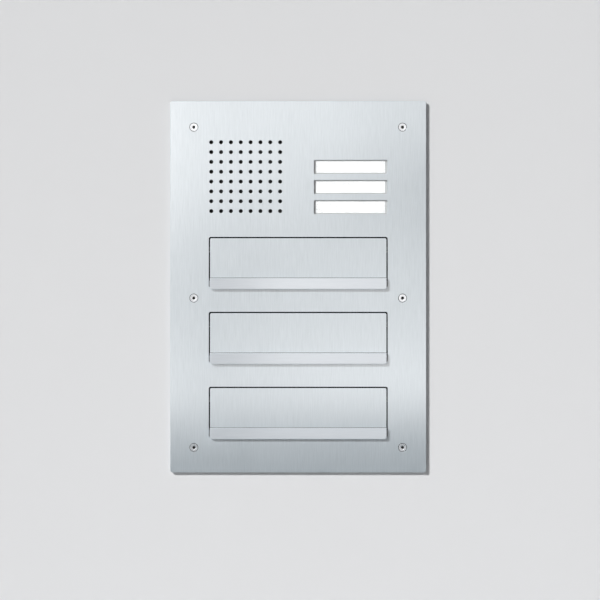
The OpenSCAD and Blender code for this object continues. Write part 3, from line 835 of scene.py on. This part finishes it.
def grip_strip(flap, finish):
    """A drawn bar with round lower corners and a finger groove along its back."""
    low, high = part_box(f"flap_grip_{flap}")
    corner, end_round, steps = OPENING_CORNER, 0.35 * MM, 8
    sections = []
    for k in range(steps + 1):
        along = corner * (1 - math.cos(math.radians(90 * k / steps)))
        lift = corner - math.sqrt(max(0, corner ** 2 - (corner - along) ** 2))
        draw = end_round * (1 - math.sqrt(max(0, 1 - (1 - min(1, along / end_round)) ** 2)))
        sections.append((low.x + along, lift, draw))
    mirror = [(low.x + high.x - x, lift, draw) for x, lift, draw in reversed(sections)]
    work = bmesh.new()
    rings = []
    for x, lift, draw in sections + mirror:
        ring = [work.verts.new((x, y, z)) for y, z in grip_profile(low, high, lift, draw)]
        rings.append(ring)
    count = len(rings[0])
    for first, second in zip(rings, rings[1:]):
        for k in range(count):
            after = (k + 1) % count
            work.faces.new((first[k], first[after], second[after], second[k]))
    work.faces.new(rings[0])
    work.faces.new(rings[-1][::-1])
    bmesh.ops.recalc_face_normals(work, faces=work.faces)
    mesh = bpy.data.meshes.new(f"grip_strip_{flap}")
    work.to_mesh(mesh)
    work.free()
    even_shading(piece(
        f"grip_strip_{flap}", mesh, finish, f"flap_{flap}", [f"flap_grip_{flap}"]))


def strip_shade_bead(flap, finish):
    """A fine dark bead along the strip's top edge: painted shade for the shade line where the strip
    meets the flap.
    """
    low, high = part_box(f"flap_grip_{flap}")
    height, proud, sunk, short = 0.6 * MM, 0.35 * MM, 0.1 * MM, 0.4 * MM
    outline = rounded(
        high.x - low.x - 2 * short, height, 0.15 * MM, centre(low, high).x, high.z + height / 2)
    bead = plate("strip_shade_bead", outline, [], FRONT - proud, FRONT + sunk, 0.1 * MM)
    even_shading(piece(
        f"strip_shade_bead_{flap}", bead, finish, f"flap_{flap}", [f"flap_grip_{flap}"]))


def closing_springs(flap, finish):
    """Torsion springs on the pin: one leg on the flap, the other on the chute's tab."""
    pivot = Vector(JOINTS[f"flap_{flap}_hinge"]["pos_m"])
    radius_of_wire, coil, length = 0.5 * MM, 2.7 * MM, 4.75 * MM
    leg_up, leg_back, lean = 11 * MM, 8.2 * MM, math.radians(5.4)
    quarters, per_quarter = 13, 8
    for side, (low, high) in left_and_right(f"flap_springs_{flap}"):
        inner = high.x if side < 0 else low.x
        start = inner + side * radius_of_wire
        run = side * (length - 2 * radius_of_wire)
        points = [(start, pivot.y - coil - leg_up * math.sin(lean), pivot.z + leg_up)]
        for k in range(quarters * per_quarter + 1):
            share = k / (quarters * per_quarter)
            angle = math.pi + math.radians(90) * quarters * share
            points.append((
                start + run * share,
                pivot.y + coil * math.cos(angle), pivot.z + coil * math.sin(angle)))
        points.append((start + run, pivot.y + leg_back, pivot.z - coil))
        name = f"flap_spring_{flap}_{'left' if side < 0 else 'right'}"
        mesh = wire(name, points, radius_of_wire)
        mesh.shade_smooth()
        made = piece(name, mesh, finish, None)
        leg = side * 2.2 * radius_of_wire
        inner + leg
        inner + side * length - leg
        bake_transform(made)
        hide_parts(f"flap_springs_{flap}")


# ---------------------------------------------------------------- studio

def plaster():
    finish = Finish("plaster", {"IOR": 1.4})
    cloud = finish.noise((3, 3, 3), detail=2.0)
    finish.set("Base Color", finish.mix(
        cloud, colour(0.70, 0.706, 0.719), colour(0.71, 0.716, 0.729)))
    finish.set("Roughness", finish.spread(cloud, 0.90, 0.95))
    return finish


def studio(finish):
    """A pale wall round the box, and a pale floor under it."""
    half, drop, reach = 1.3, 1.35, 4.0
    clearance, corner = 1.5 * MM, 1 * MM
    front, back, edge = 0.3 * MM, 2.3 * MM, 0.2 * MM
    low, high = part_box("wall_box")
    recess = rounded(high.x - low.x + 2 * clearance, high.z - low.z + 2 * clearance, corner)
    outline = rounded(2 * half, 2 * drop, corner)
    wall = piece("wall", plate("wall", outline, [recess], front, back, edge), finish, None)
    floor_mesh = bpy.data.meshes.new("floor")
    corners = [(-reach, -reach), (reach, -reach), (reach, reach), (-reach, reach)]
    floor_mesh.from_pydata([(x, y, -drop) for x, y in corners], [], [(0, 1, 2, 3)])
    floor = piece("floor", floor_mesh, finish, None)


def reflector():
    """A large graded card in front of the panel that only shows up mirrored in its metal.

    Its grades run upwards, from dusk at the foot to day; its upper right is shaded, and a
    darker band on its left shows in the grip strips.
    """
    half, distance = 0.45, 0.42
    mesh = bpy.data.meshes.new("card")
    corners = [(-half, -half), (half, -half), (half, half), (-half, half)]
    mesh.from_pydata([(x, -distance, z) for x, z in corners], [], [(0, 3, 2, 1)])
    card = Finish("card", {})
    card.tree.nodes.clear()
    across, _, up = card.coordinates()
    dusk, day = (0.0, 0.09, 0.18), (1.10, 1.00, 0.945)
    reach, tilt, gain = 0.3, 0.03, 2.5
    grades = (
        (-0.280, dusk, 0.1), (-0.252, dusk, 0.3), (-0.218, day, 0.40), (-0.186, day, 1.85),
        (-0.150, day, 1.76), (-0.100, day, 1.19), (-0.030, day, 1.00), (0.045, day, 1.08),
        (0.100, day, 1.38), (0.165, day, 1.86), (0.260, day, 1.98))
    slant = up - across * tilt
    ramp = card.node("ShaderNodeValToRGB", {}, {"Fac": card.spread(slant, 0, 1, -reach, reach)})
    ramp.color_ramp.interpolation = "B_SPLINE"
    stops = ramp.color_ramp.elements
    while len(stops) < len(grades):
        stops.new(0.5)
    for stop, (height, tint, grade) in zip(stops, grades):
        stop.position = (height + reach) / (2 * reach)
        stop.color = (*(channel * grade / gain for channel in tint), 1)
    fall = card.spread(up, 0.0, 0.70, 0.03, 0.12) - card.spread(up, 0.0, 0.25, 0.18, 0.26)
    right = card.spread(across, 0, 1, -0.06, 0.14)
    band = card.spread(across, 0, 1, -0.22, -0.16) * card.spread(across, 1, 0, -0.10, -0.05)
    far_left = card.spread(across, 0.9, 0, -0.40, -0.24)
    shade = 1 - fall * right - band * 0.70 + far_left
    glow = card.node("ShaderNodeEmission", {}, {"Color": ramp.outputs[0], "Strength": shade * gain})
    card.node("ShaderNodeOutputMaterial", {}, {"Surface": glow.outputs[0]})
    made = piece("card", mesh, card, None)
    for sight in ("camera", "diffuse", "shadow", "transmission", "volume_scatter"):
        setattr(made, f"visible_{sight}", False)


def hung(name, lamp, aim, place=(0, 0, 0)):
    """Hangs a lamp at a place and turns it the way that aim points."""
    holder = bpy.data.objects.new(name, lamp)
    holder.location = place
    holder.rotation_euler = aim.to_track_quat("-Z", "Y").to_euler()
    bpy.context.collection.objects.link(holder)
    return holder


def lights():
    """A soft sun from the upper left, a faint sky, and a lamp high up behind the wall."""
    scene = bpy.context.scene
    world = bpy.data.worlds.new("studio")
    world.use_nodes = True
    scene.world = world
    nodes, links = world.node_tree.nodes, world.node_tree.links
    sky = nodes["Background"]
    sky.inputs["Color"].default_value = (0.985, 0.99, 1.0, 1)
    direction = nodes.new("ShaderNodeTexCoord")
    split = nodes.new("ShaderNodeSeparateXYZ")
    indoors = nodes.new("ShaderNodeMapRange")
    for name, value in (("From Min", 0.45), ("From Max", 0.85), ("To Min", 0.12), ("To Max", 0.0)):
        indoors.inputs[name].default_value = value
    links.new(direction.outputs["Generated"], split.inputs[0])
    links.new(split.outputs["Y"], indoors.inputs["Value"])
    links.new(indoors.outputs[0], sky.inputs["Strength"])
    key = bpy.data.lights.new("key", "SUN")
    key.energy = 4.0
    key.angle = math.radians(8)
    key.color = (1.0, 0.995, 0.985)
    hung("key", key, Vector((1.1, 1.0, -0.95)))
    back = bpy.data.lights.new("back_fill", "AREA")
    back.energy = 50
    back.shape = "DISK"
    back.size = 1.6
    place, middle = Vector((0.9, 1.9, 2.7)), Vector((0, 0.05, 0))
    hung("back_fill", back, middle - place, place).visible_camera = False
    scene.view_settings.view_transform = "Standard"


def camera():
    """Square on to the panel, with a long lens."""
    shown, lens, sensor, far = 0.881, 200.0, 36.0, 50
    aim_x, aim_z = 2.6 * MM, -19.5 * MM
    data = bpy.data.cameras.new("camera")
    data.lens = lens
    data.sensor_width = sensor
    data.clip_end = far
    holder = bpy.data.objects.new("camera", data)
    bpy.context.collection.objects.link(holder)
    holder.location = (aim_x, FRONT - shown * lens / sensor, aim_z)
    holder.rotation_euler = (math.pi / 2, 0, 0)
    bpy.context.scene.camera = holder


# ---------------------------------------------------------------- the whole station

camera()
lights()
studio(plaster())
reflector()

steel = panel_steel()
front_plate(steel)
# Painted shade: the countersink cones are near black, standing in for the shade of the gap round
# each screw head
screw_seats(moulded("countersink", (0.010, 0.010, 0.011), 900, 0.85, 0.95))
panel_screws(screw_steel())
speaker_mesh(moulded("black_lacquer", (0.012, 0.012, 0.013), 900, 0.35, 0.55))

cover = clear_cover()
spring = drawn_wire("spring_wire", colour(0.14, 0.14, 0.15), colour(0.24, 0.24, 0.25))
for button in BUTTONS:
    label_cover(button, cover)
    button_return_springs(button, spring)

grip = grip_steel()
# Painted shade: a near-black rubber bead that draws the shade line along each grip strip's top edge
seam_shade_rubber = rubber("seam_shade_rubber", 1200)
for flap in FLAPS:
    flap_sheet(flap, steel)
    grip_strip(flap, grip)
    strip_shade_bead(flap, seam_shade_rubber)
    closing_springs(flap, spring)

dress([f"button_cap_{n}" for n in BUTTONS], satin_cap(), 0.15 * MM)
dress([f"name_label_{n}" for n in BUTTONS], label_card())
dress(["wall_box"], galvanised_steel(), 0.6 * MM, 3)
dress(["box_divider"], galvanised_steel(), 0.3 * MM)
dress([f"letter_chute_{n}" for n in FLAPS], mill_steel(), 0.3 * MM)
plated = zinc_plate("zinc_plate", colour(0.52, 0.52, 0.50), colour(0.70, 0.69, 0.63))
dress(["rivet_nuts", "stud_nuts", "small_nuts", "terminal_screws"], plated, 0.15 * MM)
dress([f"hinge_pin_{n}" for n in FLAPS],
      drawn_wire("ground_rod", colour(0.50, 0.51, 0.52), colour(0.66, 0.67, 0.68)), 0.3 * MM)
dress(["hinge_bushes"], moulded("acetal", (0.78, 0.76, 0.68), 800, 0.38, 0.5), 0.15 * MM)
dress(["panel_gasket", "flap_buffers", "microphone_boot"], rubber("seal_rubber", 900), 0.2 * MM)
dress(["speaker_surround"], rubber("surround_rubber", 1500))
dress(["speaker_gasket"], rubber("foam", 420), 0.2 * MM)
case = moulded("case_plastic", (0.060, 0.061, 0.065), 1100, 0.42, 0.60)
dress(["intercom_case", "button_frame"], case, 0.4 * MM)
black = moulded("component_black", (0.030, 0.030, 0.033), 1300, 0.40, 0.56)
dress(["board_components", "bell_switches"], black, 0.2 * MM)
dress([f"switch_plunger_{n}" for n in BUTTONS], black, 0.15 * MM)
dress(["gland_body", "gland_cap", "gland_locknut"],
      moulded("gland_nylon", (0.040, 0.040, 0.043), 900, 0.38, 0.54), 0.35 * MM, 3)
dress(["circuit_board"], solder_mask())
dress(["terminal_block"], moulded("terminal_nylon", (0.07, 0.36, 0.20), 900, 0.30, 0.42), 0.2 * MM)
dress(["backlight_leds"], moulded("lamp_lens", (0.92, 0.92, 0.84), 700, 0.10, 0.20, 0.01))
dress(["speaker_basket"], moulded("basket_lacquer", (0.045, 0.045, 0.05), 700, 0.36, 0.5), 0.2 * MM)
dress(["speaker_cone", "speaker_dust_cap"], pressed_paper())
dress(["speaker_magnet"], ferrite(), 0.4 * MM)
dress(["microphone"], microphone_can(), 0.2 * MM)
